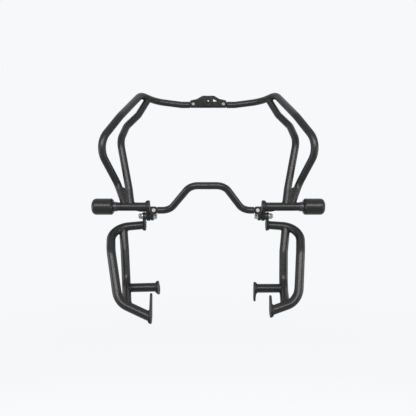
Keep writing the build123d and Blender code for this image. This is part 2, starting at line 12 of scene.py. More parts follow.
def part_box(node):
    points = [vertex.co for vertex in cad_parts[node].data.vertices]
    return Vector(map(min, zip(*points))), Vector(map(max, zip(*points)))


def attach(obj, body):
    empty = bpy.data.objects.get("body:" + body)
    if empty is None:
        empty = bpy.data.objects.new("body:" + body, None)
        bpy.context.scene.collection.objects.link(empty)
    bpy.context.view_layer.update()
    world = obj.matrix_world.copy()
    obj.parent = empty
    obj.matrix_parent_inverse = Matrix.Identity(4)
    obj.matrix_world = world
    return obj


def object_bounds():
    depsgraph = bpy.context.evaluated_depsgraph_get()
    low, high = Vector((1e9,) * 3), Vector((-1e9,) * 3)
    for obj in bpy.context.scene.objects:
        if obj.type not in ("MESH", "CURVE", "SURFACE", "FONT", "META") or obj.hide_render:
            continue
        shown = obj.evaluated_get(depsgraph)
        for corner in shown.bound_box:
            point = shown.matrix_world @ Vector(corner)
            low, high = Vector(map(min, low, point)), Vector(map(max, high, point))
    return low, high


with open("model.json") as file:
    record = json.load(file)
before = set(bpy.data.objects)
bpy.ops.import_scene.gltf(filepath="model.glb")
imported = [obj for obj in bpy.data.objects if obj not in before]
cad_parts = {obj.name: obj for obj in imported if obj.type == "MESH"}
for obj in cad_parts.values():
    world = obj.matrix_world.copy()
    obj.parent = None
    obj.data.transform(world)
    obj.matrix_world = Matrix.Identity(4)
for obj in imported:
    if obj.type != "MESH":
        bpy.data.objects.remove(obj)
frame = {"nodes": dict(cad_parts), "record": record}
CAD_LOW, CAD_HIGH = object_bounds()

bl_info = {
    "name": "Crash Bar Finisher",
    "version": (1, 0, 0),
    "blender": (4, 5, 0),
    "location": "View3D > Sidebar > Crash Bars",
    "description": "Coats, welds, bolts and lights a set of motorcycle crash bars",
    "category": "Object",
}

SIDES = ("left", "right")
NODES = frame["nodes"]


class Finish(NamedTuple):
    """How a surface's colour and gloss change from place to place."""

    mark_size: float
    darkest: float
    lightest: float
    smoothest: float
    roughest: float


# Width of each finish's cloudy marks in metres, shares of its colour in them, and its roughness
TURNED = Finish(mark_size=0.020, darkest=0.85, lightest=1.20, smoothest=0.30, roughest=0.38)
ANODISED = Finish(mark_size=0.012, darkest=0.80, lightest=1.25, smoothest=0.30, roughest=0.42)
BRIGHT_ZINC = Finish(mark_size=0.006, darkest=0.78, lightest=1.10, smoothest=0.24, roughest=0.34)
DULL_ZINC = Finish(mark_size=0.006, darkest=0.78, lightest=1.10, smoothest=0.45, roughest=0.60)
BLACKENED = Finish(mark_size=0.008, darkest=0.75, lightest=1.35, smoothest=0.34, roughest=0.50)

# Powder coat: its marks, how uneven its roughness is, and the share and shade of dust on it
COAT_MARK_SIZE = 0.045
COAT_DARKEST = 0.86
COAT_LIGHTEST = 1.16
COAT_UNEVEN = 0.05
CAST_UNEVEN = 0.32
COAT_DUST = 0.10
DUST_SHADE = 3.2

# Zinc: how much a stain covers, and its shares of the plate's red, green and blue
STAIN_COVER = 0.3
STAIN_TINT = (0.95, 0.88, 0.76)

# Gloss that is the same all over a surface
BLACK_SPECULAR = 0.25
BLACKENED_SPECULAR = 0.30
COLLAR_METALLIC = 0.35

# Sizes and heights of fine relief
TOOL_DEPTH = 0.000012
COLLAR_PITCH_SHARE = 0.6
ZINC_GRAIN = 0.0005
BLACKENED_GRAIN = 0.0006
METAL_GRAIN_DEPTH = 0.00002

# Fine peel: how many times finer its second ripple is, and that ripple's share of the height
PEEL_FINER = 3.1
PEEL_FINER_SHARE = 0.35

# Dust: how many times finer its specks are than the marks, and where in the noise they start and end
SPECK_FINER = 28.0
SPECK_START = 0.60
SPECK_END = 0.74

# Blender's wave texture repeats once in this length at a scale of 1
WAVE_LENGTH = 2 * pi / 20

# A mix node's sockets for colours: its factor and two colours, and its result
MIX_INPUTS = (0, 6, 7)
MIX_RESULT = 2

# Size that an effect has until a material sets its own
EFFECT_SIZE = 0.001

# How a weld finds the rim that it runs along
MERGE_DISTANCE = 1e-6
SAME_END = 0.02
RIM_REACH = 0.0008
RIM_ANGLE = radians(32)
SHORTEST_BEAD = 0.03
SKIRT_MIDDLE = 0.0017
PLATE_REACH = 0.06
BOSS_R = 0.014
BOSS_SLACK = 0.0002

# How a bead is rounded and smoothed, and how much thicker it is round the boss
POINTS_PER_RIPPLE = 5
BEAD_SMOOTHING = 24
SMOOTHING_STEP = 0.5
BEAD_ROUNDNESS = 2
BOSS_GIRTH = 1.3

# Screw shanks and their threads
JOINT_SHANK_R = 0.005
CENTRE_SHANK_R = 0.003
THREAD_CORNERS = 3
THREAD_STEPS = 32
THREAD_LEAD_IN = 0.0009

# Floor: where it fades into the backdrop, how light it is, how much it glows, and its faint patches
FLOOR_SIZE = 60.0
FLOOR_NEAR = 1.4
FLOOR_FAR = 3.4
FLOOR_MATT = 0.15
FLOOR_GLOW = 0.917
PATCH_SCALE = 0.6
PATCH_SHADE = 0.97
BLACK = (0.0, 0.0, 0.0, 1.0)

# Softboxes: places from the middle of the cross tubes, and widths and heights
KEY_PLACE = Vector((0.0, -1.6, 0.62))
KEY_SIZE = (2.6, 0.44)
TOP_PLACE = Vector((0.0, 0.15, 1.6))
TOP_SIZE = (1.4, 1.4)
LEFT_PLACE = Vector((-1.5, -0.3, -0.1))
RIGHT_PLACE = Vector((1.5, -0.3, -0.1))
SIDE_SIZE = (0.7, 0.7)

# Camera, beside and above the middle of the cross tubes
CAMERA_SIDE = -0.0009
CAMERA_RISE = -0.004


# Settings that a user would change

class CoatSettings(bpy.types.PropertyGroup):
    """The satin black powder coat on tubes, plates and brackets."""

    colour: bpy.props.FloatVectorProperty(
        name="Colour", description="Colour of the coat on tubes", subtype="COLOR", size=3, min=0, max=1,
        default=(0.0090, 0.0091, 0.0096))
    roughness: bpy.props.FloatProperty(
        name="Tube roughness", description="How satin the coat is on tubes", default=0.33, min=0, max=1)
    # The flat coat is the tube coat darkened: its colour is painted shade, for flat faces that meet the
    # lamps head on or at a grazing angle
    flat_colour: bpy.props.FloatVectorProperty(
        name="Flat colour", description="Colour of the coat on plates and brackets", subtype="COLOR",
        size=3, min=0, max=1, default=(0.0040, 0.0041, 0.0044))
    flat_roughness: bpy.props.FloatProperty(
        name="Flat roughness", description="How matt the coat is on plates and brackets",
        default=0.58, min=0, max=1)
    peel_size: bpy.props.FloatProperty(
        name="Peel size", description="Width of the coat's fine ripples", default=0.0011, unit="LENGTH")
    peel_depth: bpy.props.FloatProperty(
        name="Peel depth", description="Height of the coat's fine ripples", default=0.000010, unit="LENGTH")
    cast_roughness: bpy.props.FloatProperty(
        name="Cast roughness", description="How matt the cast centre bracket is",
        default=0.68, min=0, max=1)
    cast_size: bpy.props.FloatProperty(
        name="Cast grain", description="Width of the cast bracket's grain", default=0.0026, unit="LENGTH")
    cast_depth: bpy.props.FloatProperty(
        name="Cast depth", description="Height of the cast bracket's grain", default=0.00030, unit="LENGTH")


class SliderSettings(bpy.types.PropertyGroup):
    """The turned plastic pucks and their anodised collars."""

    plastic_colour: bpy.props.FloatVectorProperty(
        name="Plastic", description="Colour of the pucks", subtype="COLOR", size=3, min=0, max=1,
        default=(0.0075, 0.0075, 0.0078))
    collar_colour: bpy.props.FloatVectorProperty(
        name="Collar", description="Colour of the anodised collars", subtype="COLOR", size=3, min=0, max=1,
        default=(0.020, 0.020, 0.022))
    tool_pitch: bpy.props.FloatProperty(
        name="Tool pitch", description="Distance between turning marks", default=0.0007, unit="LENGTH")


class FastenerSettings(bpy.types.PropertyGroup):
    """Zinc plated bolts and nuts, and the blackened washers and spacers."""

    zinc_colour: bpy.props.FloatVectorProperty(
        name="Zinc", description="Colour of the zinc plate", subtype="COLOR", size=3, min=0, max=1,
        default=(0.34, 0.34, 0.333))
    # The centre screws' zinc is rougher, and its colour is darkened as painted shade to damp the front
    # lamp's head-on reflection in them
    dull_colour: bpy.props.FloatVectorProperty(
        name="Dull zinc", description="Colour of the centre screws' duller plate", subtype="COLOR",
        size=3, min=0, max=1, default=(0.13, 0.13, 0.127))
    black_colour: bpy.props.FloatVectorProperty(
        name="Black", description="Colour of the blackened steel", subtype="COLOR", size=3, min=0, max=1,
        default=(0.012, 0.012, 0.013))
    joint_pitch: bpy.props.FloatProperty(
        name="Joint thread", description="Pitch of the joint bolts' threads",
        default=0.0015, unit="LENGTH")
    centre_pitch: bpy.props.FloatProperty(
        name="Centre thread", description="Pitch of the centre screws' threads",
        default=0.0010, unit="LENGTH")
    thread_depth: bpy.props.FloatProperty(
        name="Thread depth", description="How far a thread stands out of its shank",
        default=0.00035, unit="LENGTH")


class WeldSettings(bpy.types.PropertyGroup):
    """The rippled weld beads where tubes meet."""

    bead_radius: bpy.props.FloatProperty(
        name="Bead radius", description="Half of a bead's width", default=0.0021, unit="LENGTH")
    ripple_pitch: bpy.props.FloatProperty(
        name="Ripple pitch", description="Distance between a bead's ripples", default=0.0026, unit="LENGTH")
    ripple_depth: bpy.props.FloatProperty(
        name="Ripple depth", description="Share of the radius that a ripple takes",
        default=0.10, min=0, max=1)


class StageSettings(bpy.types.PropertyGroup):
    """Floor, lights and camera."""

    backdrop_colour: bpy.props.FloatVectorProperty(
        name="Backdrop", description="Colour of the backdrop", subtype="COLOR", size=3, min=0, max=1,
        default=(0.930, 0.938, 0.955))
    floor_drop: bpy.props.FloatProperty(
        name="Floor drop", description="Height of the held bars above the floor",
        default=0.62, unit="LENGTH")
    camera_distance: bpy.props.FloatProperty(
        name="Camera distance", description="From the camera to the cross tubes",
        default=1.2, unit="LENGTH")
    camera_lens: bpy.props.FloatProperty(
        name="Lens", description="Focal length in millimetres", default=35.3)
    key_power: bpy.props.FloatProperty(
        name="Key power", description="Wide softbox in front", default=54.0, unit="POWER")
    top_power: bpy.props.FloatProperty(
        name="Top power", description="Softbox overhead", default=3.0, unit="POWER")
    side_power: bpy.props.FloatProperty(
        name="Side power", description="Softbox on each side", default=7.0, unit="POWER")
    ambient: bpy.props.FloatProperty(
        name="Ambient", description="Light from all round", default=0.2)


SETTINGS = {
    "crash_coat": CoatSettings,
    "crash_sliders": SliderSettings,
    "crash_fasteners": FastenerSettings,
    "crash_welds": WeldSettings,
    "crash_stage": StageSettings,
}


# Shader building

class Shader:
    """A node tree with short calls to add and join nodes."""

    def __init__(self, tree):
        self.tree = tree

    def add(self, kind, values=None, **links):
        """A new node with its values set, and sockets joined to inputs whose names have _ for a space."""
        node = self.tree.nodes.new(kind)
        for name, value in (values or {}).items():
            if name in node.inputs:
                node.inputs[name].default_value = value
            else:
                setattr(node, name, value)
        for name, socket in links.items():
            self.tree.links.new(socket, node.inputs[name.replace("_", " ")])
        return node

    def math(self, operation, first, second):
        """A value worked out from two others, which may be sockets or numbers."""
        node = self.tree.nodes.new("ShaderNodeMath")
        node.operation = operation
        for socket, value in zip(node.inputs, (first, second)):
            if isinstance(value, (int, float)):
                socket.default_value = value
            else:
                self.tree.links.new(value, socket)
        return node.outputs[0]

    def blend(self, factor, low, high):
        """A colour between two others, which may be sockets or colours."""
        node = self.tree.nodes.new("ShaderNodeMix")
        node.data_type = "RGBA"
        for index, value in zip(MIX_INPUTS, (factor, low, high)):
            if hasattr(value, "is_output"):
                self.tree.links.new(value, node.inputs[index])
            else:
                node.inputs[index].default_value = value
        return node.outputs[MIX_RESULT]

    def spread(self, value, low, high):
        """A value from 0 to 1, spread between two others."""
        return self.add("ShaderNodeMapRange", {"To Min": low, "To Max": high}, Value=value).outputs[0]


class Surface(Shader):
    """A new material: its node tree, its principled shader and its object coordinates."""

    def __init__(self, name):
        self.material = bpy.data.materials.new(name)
        self.material.use_nodes = True
        super().__init__(self.material.node_tree)
        self.shader = self.tree.nodes["Principled BSDF"]
        self.place = self.add("ShaderNodeTexCoord").outputs["Object"]

    def feed(self, **links):
        """Joins sockets to the shader's inputs, whose names have _ for a space."""
        for name, socket in links.items():
            self.tree.links.new(socket, self.shader.inputs[name.replace("_", " ")])

    def fix(self, **values):
        """Sets those inputs of the shader that are the same all over."""
        for name, value in values.items():
            self.shader.inputs[name.replace("_", " ")].default_value = value

    def effect(self, maker, **values):
        """A shared node group, which is made once and has its maker's name, with values of its own here."""
        tree = bpy.data.node_groups.get(maker.__name__) or maker()
        return self.add("ShaderNodeGroup", {"node_tree": tree, **values}, Vector=self.place)

    def cloud(self, colour, finish):
        """Sets an uneven roughness, and gives an uneven colour and a mask of dust."""
        marks = self.effect(handling_marks, Size=finish.mark_size)
        cloud = marks.outputs["Cloud"]
        self.feed(Roughness=self.spread(cloud, finish.smoothest, finish.roughest))
        clouded = self.blend(cloud, shade(colour, finish.darkest), shade(colour, finish.lightest))
        return clouded, marks.outputs["Dust"]

    def bump(self, height, depth):
        """Raises the surface by a height times a depth in metres."""
        relief = self.add("ShaderNodeBump", {"Strength": 1.0, "Distance": depth}, Height=height)
        self.feed(Normal=relief.outputs["Normal"])


def shade(colour, factor):
    return (*[min(1.0, channel * factor) for channel in colour], 1.0)


# Effects that several materials share

def new_group(name, size, outputs):
    """A node group that takes a vector and a named size and gives values, with the sockets at its ends."""
    tree = bpy.data.node_groups.new(name, "ShaderNodeTree")
    tree.interface.new_socket(name="Vector", in_out="INPUT", socket_type="NodeSocketVector")
    given = tree.interface.new_socket(name=size, in_out="INPUT", socket_type="NodeSocketFloat")
    given.default_value = EFFECT_SIZE
    for output in outputs:
        tree.interface.new_socket(name=output, in_out="OUTPUT", socket_type="NodeSocketFloat")
    build = Shader(tree)
    return build, build.add("NodeGroupInput").outputs, build.add("NodeGroupOutput").inputs


def fine_peel():
    """Fine ripples of a sprayed or moulded skin, as a height."""
    build, given, out = new_group("fine_peel", "Size", ["Height"])
    place = given["Vector"]
    scale = build.math("DIVIDE", 1.0, given["Size"])
    finer_scale = build.math("MULTIPLY", scale, PEEL_FINER)
    broad = build.add("ShaderNodeTexNoise", {"Detail": 1.0}, Vector=place, Scale=scale)
    finer = build.add("ShaderNodeTexNoise", {"Detail": 2.0}, Vector=place, Scale=finer_scale)
    added = build.math("MULTIPLY", finer.outputs["Fac"], PEEL_FINER_SHARE)
    build.tree.links.new(build.math("ADD", broad.outputs["Fac"], added), out["Height"])
    return build.tree


def handling_marks():
    """Faint cloudy marks and dust that change a surface's colour and gloss from place to place."""
    build, given, out = new_group("handling_marks", "Size", ["Cloud", "Dust"])
    place = given["Vector"]
    scale = build.math("DIVIDE", 1.0, given["Size"])
    speck_scale = build.math("MULTIPLY", scale, SPECK_FINER)
    cloud = build.add("ShaderNodeTexNoise", {"Detail": 4.0, "Roughness": 0.6}, Vector=place, Scale=scale)
    specks = build.add("ShaderNodeTexNoise", {"Detail": 3.0}, Vector=place, Scale=speck_scale)
    dust = build.add(
        "ShaderNodeMapRange", {"From Min": SPECK_START, "From Max": SPECK_END}, Value=specks.outputs["Fac"])
    build.tree.links.new(cloud.outputs["Fac"], out["Cloud"])
    build.tree.links.new(dust.outputs[0], out["Dust"])
    return build.tree


def tool_rings():
    """Rings left by a lathe round the X axis, as a height."""
    build, given, out = new_group("tool_rings", "Pitch", ["Height"])
    waves = build.add(
        "ShaderNodeTexWave", {"bands_direction": "X", "Distortion": 0.4, "Detail": 1.0},
        Vector=given["Vector"], Scale=build.math("DIVIDE", WAVE_LENGTH, given["Pitch"]))
    build.tree.links.new(waves.outputs["Fac"], out["Height"])
    return build.tree


# Materials, each with the name of its function

def powder_coat(name, colour, roughness, uneven, grain_size, grain_depth):
    """A sprayed coat whose roughness is uneven by so much, with a grain of a size and depth."""
    surface = Surface(name)
    finish = Finish(COAT_MARK_SIZE, COAT_DARKEST, COAT_LIGHTEST, roughness - uneven, roughness + uneven)
    clouded, dust = surface.cloud(colour, finish)
    dusty = surface.blend(surface.math("MULTIPLY", dust, COAT_DUST), clouded, shade(colour, DUST_SHADE))
    grain = surface.effect(fine_peel, Size=grain_size)
    surface.feed(Base_Color=dusty)
    surface.fix(Specular_IOR_Level=BLACK_SPECULAR)
    surface.bump(grain.outputs["Height"], grain_depth)
    return surface.material


def satin_tube_coat():
    coat = bpy.context.scene.crash_coat
    return powder_coat(
        "satin_tube_coat", coat.colour, coat.roughness, COAT_UNEVEN,
        coat.peel_size, coat.peel_depth)


# Plates and brackets: the tubes' powder coat, matter, with its colour darkened as painted shade
def matt_shaded_flat_coat():
    coat = bpy.context.scene.crash_coat
    return powder_coat(
        "matt_shaded_flat_coat", coat.flat_colour, coat.flat_roughness, COAT_UNEVEN,
        coat.peel_size, coat.peel_depth)


# The cast bracket takes the flat coat's darkened colour, which is painted shade, with a coarser grain and
# rougher finish
def cast_bracket_coat():
    coat = bpy.context.scene.crash_coat
    return powder_coat(
        "cast_bracket_coat", coat.flat_colour, coat.cast_roughness, CAST_UNEVEN,
        coat.cast_size, coat.cast_depth)


def turned_black_plastic():
    sliders = bpy.context.scene.crash_sliders
    surface = Surface("turned_black_plastic")
    clouded, _ = surface.cloud(sliders.plastic_colour, TURNED)
    rings = surface.effect(tool_rings, Pitch=sliders.tool_pitch)
    surface.feed(Base_Color=clouded)
    surface.fix(Specular_IOR_Level=BLACK_SPECULAR)
    surface.bump(rings.outputs["Height"], TOOL_DEPTH)
    return surface.material


def black_anodised_collar():
    sliders = bpy.context.scene.crash_sliders
    surface = Surface("black_anodised_collar")
    clouded, _ = surface.cloud(sliders.collar_colour, ANODISED)
    rings = surface.effect(tool_rings, Pitch=sliders.tool_pitch * COLLAR_PITCH_SHARE)
    surface.feed(Base_Color=clouded)
    surface.fix(Metallic=COLLAR_METALLIC)
    surface.bump(rings.outputs["Height"], TOOL_DEPTH)
    return surface.material


def zinc_plate(name, colour, finish):
    """Plated metal with faint warm stains."""
    surface = Surface(name)
    clouded, dust = surface.cloud(colour, finish)
    stain = [channel * share for channel, share in zip(colour, STAIN_TINT)]
    stained = surface.blend(surface.math("MULTIPLY", dust, STAIN_COVER), clouded, shade(stain, 1.0))
    grain = surface.effect(fine_peel, Size=ZINC_GRAIN)
    surface.feed(Base_Color=stained)
    surface.fix(Metallic=1.0)
    surface.bump(grain.outputs["Height"], METAL_GRAIN_DEPTH)
    return surface.material


def bright_zinc_plate():
    return zinc_plate("bright_zinc_plate", bpy.context.scene.crash_fasteners.zinc_colour, BRIGHT_ZINC)


# A rougher zinc whose darker colour is painted shade against the front lamp's reflection in the centre
# screws
def shaded_dull_zinc_plate():
    return zinc_plate("shaded_dull_zinc_plate", bpy.context.scene.crash_fasteners.dull_colour, DULL_ZINC)


def blackened_steel():
    surface = Surface("blackened_steel")
    clouded, _ = surface.cloud(bpy.context.scene.crash_fasteners.black_colour, BLACKENED)
    grain = surface.effect(fine_peel, Size=BLACKENED_GRAIN)
    surface.feed(Base_Color=clouded)
    surface.fix(Specular_IOR_Level=BLACKENED_SPECULAR)
    surface.bump(grain.outputs["Height"], METAL_GRAIN_DEPTH)
    return surface.material


def seen_directly(build):
    """One for what the camera sees straight on, in a mirror or through glass, and nought for lighting."""
    path = build.add("ShaderNodeLightPath").outputs
    seen = build.math("MAXIMUM", path["Is Camera Ray"], path["Is Glossy Ray"])
    return build.math("MAXIMUM", seen, path["Is Transmission Ray"])


def pale_floor():
    """The backdrop's colour, which takes the bars' shadow near them and only glows further off."""
    stage = bpy.context.scene.crash_stage
    surface = Surface("pale_floor")
    distance = surface.add("ShaderNodeVectorMath", {"operation": "LENGTH"}, Vector=surface.place)
    far = surface.add(
        "ShaderNodeMapRange",
        {"interpolation_type": "SMOOTHSTEP", "From Min": FLOOR_NEAR, "From Max": FLOOR_FAR},
        Value=distance.outputs["Value"]).outputs[0]
    patches = surface.add("ShaderNodeTexNoise", {"Scale": PATCH_SCALE, "Detail": 2.0}, Vector=surface.place)
    darkest = shade(stage.backdrop_colour, PATCH_SHADE * FLOOR_MATT)
    matt = surface.blend(patches.outputs["Fac"], darkest, shade(stage.backdrop_colour, FLOOR_MATT))
    glow = surface.math("MULTIPLY", seen_directly(surface), surface.spread(far, FLOOR_GLOW, 1.0))
    surface.feed(Base_Color=surface.blend(far, matt, BLACK), Emission_Strength=glow)
    surface.fix(Emission_Color=shade(stage.backdrop_colour, 1.0), Roughness=1.0, Specular_IOR_Level=0.0)
    return surface.material


def slot_nodes(slot):
    """The CAD nodes that the record puts in a material slot."""
    return [NODES[part["node"]] for part in frame["record"]["subparts"] if part["material_slot"] == slot]


def dress(piece, maker):
    """Gives a piece the material that a function makes, which is made once and has the function's name."""
    piece.data.materials.clear()
    piece.data.materials.append(bpy.data.materials.get(maker.__name__) or maker())


# Modelling helpers

def select_only(piece):
    bpy.ops.object.select_all(action="DESELECT")
    piece.select_set(True)
    bpy.context.view_layer.objects.active = piece


def node_copy(node, name):
    """A merged copy of a CAD node's mesh, in an object of its own at the origin, open in edit mode."""
    piece = bpy.data.objects.new(name, NODES[node].data.copy())
    bpy.context.scene.collection.objects.link(piece)
    select_only(piece)
    bpy.ops.object.mode_set(mode="EDIT")
    bpy.ops.mesh.select_all(action="SELECT")
    bpy.ops.mesh.remove_doubles(threshold=MERGE_DISTANCE)
    bpy.ops.mesh.select_all(action="DESELECT")
    return piece


def numbered_mesh(piece):
    """The mesh of a piece in edit mode, with its edges numbered."""
    shape = bmesh.from_edit_mesh(piece.data)
    shape.edges.index_update()
    return shape


def close_seams(hole_sides=0):
    """Merges the active mesh's doubles, fills its holes of a few sides and turns its faces outwards."""
    bpy.ops.object.mode_set(mode="EDIT")
    bpy.ops.mesh.select_all(action="SELECT")
    bpy.ops.mesh.remove_doubles(threshold=MERGE_DISTANCE)
    if hole_sides:
        bpy.ops.mesh.fill_holes(sides=hole_sides)
    bpy.ops.mesh.normals_make_consistent(inside=False)
    bpy.ops.object.mode_set(mode="OBJECT")


def search_tree(nodes):
    """One search tree over several CAD nodes."""
    corners = []
    faces = []
    for node in nodes:
        mesh = NODES[node].data
        start = len(corners)
        corners += [vertex.co.copy() for vertex in mesh.vertices]
        faces += [[start + index for index in polygon.vertices] for polygon in mesh.polygons]
    return BVHTree.FromPolygons(corners, faces)


def edge_loops(edges):
    """Edges sorted into groups that hang together."""
    waiting = set(edges)
    loops = []
    while waiting:
        todo = [waiting.pop()]
        loop = []
        while todo:
            edge = todo.pop()
            loop.append(edge)
            for vertex in edge.verts:
                for other in vertex.link_edges:
                    if other in waiting:
                        waiting.remove(other)
                        todo.append(other)
        loops.append(loop)
    return loops


def loop_length(loop):
    return sum(edge.calc_length() for edge in loop)


def loop_centre(loop):
    return sum((vertex.co for edge in loop for vertex in edge.verts), Vector()) / (2 * len(loop))


def sharp_loops(shape, is_near):
    """Loops of sharp edges whose ends pass a test of their place, without loops too short for a bead."""
    sharp = [
        edge for edge in shape.edges
        if len(edge.link_faces) == 2 and edge.calc_face_angle() > RIM_ANGLE
        and all(is_near(vertex.co) for vertex in edge.verts)
    ]
    return [loop for loop in edge_loops(sharp) if loop_length(loop) > SHORTEST_BEAD]


def outermost(loops):
    """The longest loop at each place, because a tube's end has an outer and an inner rim."""
    kept = []
    for loop in sorted(loops, key=loop_length, reverse=True):
        if all((loop_centre(loop) - loop_centre(other)).length > SAME_END for other in kept):
            kept.append(loop)
    return kept


def keep_edges(piece, loops):
    """Takes away all of a mesh but these loops of edges."""
    shape = bmesh.from_edit_mesh(piece.data)
    wanted = {edge.index for loop in loops for edge in loop}
    for edge in shape.edges:
        edge.select_set(edge.index not in wanted)
    bmesh.update_edit_mesh(piece.data)
    bpy.ops.mesh.delete(type="EDGE")
    shape = bmesh.from_edit_mesh(piece.data)
    for vertex in [v for v in shape.verts if not v.link_edges]:
        shape.verts.remove(vertex)
    bmesh.update_edit_mesh(piece.data)


# Weld beads and threads

def bead_from_wire(piece, welds, girth=1.0):
    """Turns a wire of rim edges into a rippled bead, which may be thicker than the rest."""
    shape = bmesh.from_edit_mesh(piece.data)
    longest = max(edge.calc_length() for edge in shape.edges)
    bpy.ops.mesh.select_all(action="SELECT")
    bpy.ops.mesh.subdivide(number_cuts=ceil(longest / welds.ripple_pitch * POINTS_PER_RIPPLE))
    bpy.ops.mesh.vertices_smooth(factor=SMOOTHING_STEP, repeat=BEAD_SMOOTHING)
    bpy.ops.mesh.remove_doubles(threshold=welds.ripple_pitch / POINTS_PER_RIPPLE / 2)
    bpy.ops.object.mode_set(mode="OBJECT")
    bpy.ops.object.convert(target="CURVE")
    curve = bpy.context.object
    curve.data.bevel_depth = welds.bead_radius * girth
    curve.data.bevel_resolution = BEAD_ROUNDNESS
    curve.data.use_fill_caps = True
    for spline in curve.data.splines:
        travelled = 0.0
        before = None
        for point in spline.points:
            here = point.co.to_3d()
            travelled += (here - before).length if before else 0.0
            before = here
            wave = abs(sin(pi * travelled / welds.ripple_pitch))
            point.radius = 1.0 - welds.ripple_depth * wave
    bpy.ops.object.convert(target="MESH")
    bead = bpy.context.object
    close_seams()
    bpy.ops.object.shade_smooth()
    dress(bead, satin_tube_coat)
    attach(bead, "root")


def weld_rims(tube, neighbours, name, welds):
    """A bead round each end of a tube that is coped to its neighbours."""
    piece = node_copy(tube, name)
    skin = search_tree(neighbours)
    shape = numbered_mesh(piece)
    loops = outermost(sharp_loops(shape, lambda corner: skin.find_nearest(corner)[3] < RIM_REACH))
    if not loops:
        raise RuntimeError(f"{tube} has no rim against {neighbours}")
    keep_edges(piece, loops)
    bead_from_wire(piece, welds)


def weld_skirt(tube, plate, side, name, welds):
    """A bead on the fillet where a tube ends square on a plate."""
    low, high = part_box(plate)
    outer_x = high[0] if side == "right" else low[0]
    outwards = 1 if side == "right" else -1
    piece = node_copy(tube, name)
    bpy.ops.mesh.select_all(action="SELECT")
    bpy.ops.mesh.bisect(plane_co=(outer_x + outwards * SKIRT_MIDDLE, 0, 0), plane_no=(1, 0, 0))
    shape = numbered_mesh(piece)
    plate_centre = Vector([(a + b) / 2 for a, b in zip(low, high)])
    cut = [edge for edge in shape.edges if edge.select]
    near = [loop for loop in edge_loops(cut) if (loop_centre(loop) - plate_centre).length < PLATE_REACH]
    keep_edges(piece, [max(near, key=loop_length)])
    bead_from_wire(piece, welds)


def weld_boss(name, welds):
    """A bead round the foot of the centre bracket's boss, whose axis runs along Y through the origin."""
    piece = node_copy("centre_bracket", name)
    shape = numbered_mesh(piece)
    loops = sharp_loops(shape, lambda corner: abs(hypot(corner.x, corner.z) - BOSS_R) < BOSS_SLACK)
    keep_edges(piece, [max(loops, key=lambda loop: loop_centre(loop).y)])
    bead_from_wire(piece, welds, BOSS_GIRTH)


def wind_thread(name, start, end, shank_r, pitch, depth, maker):
    """A ridge with a pointed crest that winds round a shank from a nut's face to the chamfer at the tip."""
    axis = end - start
    turns = (axis.length - THREAD_LEAD_IN) / pitch
    bpy.ops.object.select_all(action="DESELECT")
    bpy.ops.mesh.primitive_circle_add(
        vertices=THREAD_CORNERS, radius=pitch / 2, fill_type="NOTHING", location=(0, 0, 0))
    thread = bpy.context.object
    thread.name = name
    bpy.ops.object.mode_set(mode="EDIT")
    shape = bmesh.from_edit_mesh(thread.data)
    inside = shank_r - depth
    crest = shank_r + depth
    for corner, (radius, height) in zip(shape.verts, ((inside, 0.0), (crest, pitch / 2), (inside, pitch))):
        corner.co = (radius, 0.0, height)
    bmesh.update_edit_mesh(thread.data)
    bpy.ops.object.mode_set(mode="OBJECT")
    winding = thread.modifiers.new("winding", "SCREW")
    winding.angle = 2 * pi * turns
    winding.screw_offset = pitch * turns
    winding.steps = ceil(THREAD_STEPS * turns)
    winding.render_steps = winding.steps
    bpy.ops.object.modifier_apply(modifier="winding")
    thread.rotation_euler = axis.to_track_quat("Z", "Y").to_euler()
    thread.location = start
    bpy.ops.object.transform_apply(location=True, rotation=True, scale=True)
    close_seams(hole_sides=THREAD_CORNERS)
    dress(thread, maker)
    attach(thread, "root")


# Stage

def cross_tube_centre():
    """The middle of the line through both cross tubes."""
    low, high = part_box("left_cross_tube")
    return Vector((0.0, (low[1] + high[1]) / 2, (low[2] + high[2]) / 2))


def lay_floor(stage):
    """A floor under the bars, which are held up as on a motorcycle."""
    bpy.ops.object.select_all(action="DESELECT")
    bpy.ops.mesh.primitive_plane_add(size=FLOOR_SIZE, location=(0, 0, CAD_LOW[2] - stage.floor_drop))
    floor = bpy.context.object
    floor.name = "floor"
    bpy.ops.object.transform_apply(location=True, rotation=True, scale=True)
    dress(floor, pale_floor)


def hang_lights(stage):
    """Softboxes that face the middle of the cross tubes."""
    target = cross_tube_centre()
    softboxes = {
        "front_softbox": (KEY_PLACE, KEY_SIZE, stage.key_power),
        "top_softbox": (TOP_PLACE, TOP_SIZE, stage.top_power),
        "left_softbox": (LEFT_PLACE, SIDE_SIZE, stage.side_power),
        "right_softbox": (RIGHT_PLACE, SIDE_SIZE, stage.side_power),
    }
    for name, (offset, size, power) in softboxes.items():
        bpy.ops.object.select_all(action="DESELECT")
        bpy.ops.object.light_add(type="AREA", location=target + offset)
        light = bpy.context.object
        light.name = name
        light.data.shape = "RECTANGLE"
        light.data.size, light.data.size_y = size
        light.data.energy = power
        light.rotation_euler = (-offset).to_track_quat("-Z", "Y").to_euler()


def light_world(stage):
    """Dim light from all round, from a world that looks as bright as the backdrop."""
    world = bpy.data.worlds.new("studio")
    bpy.context.scene.world = world
    world.use_nodes = True
    build = Shader(world.node_tree)
    background = world.node_tree.nodes["Background"]
    background.inputs["Color"].default_value = shade(stage.backdrop_colour, 1.0)
    strength = build.spread(seen_directly(build), stage.ambient, 1.0)
    build.tree.links.new(strength, background.inputs["Strength"])


def place_camera(stage):
    """A level camera that looks along Y, as the photograph's does."""
    bpy.ops.object.select_all(action="DESELECT")
    place = cross_tube_centre() + Vector((CAMERA_SIDE, -stage.camera_distance, CAMERA_RISE))
    bpy.ops.object.camera_add(location=place, rotation=(radians(90), 0, 0))
    camera = bpy.context.object
    camera.name = "photo_camera"
    camera.data.lens = stage.camera_lens
    bpy.context.scene.camera = camera


# Operators

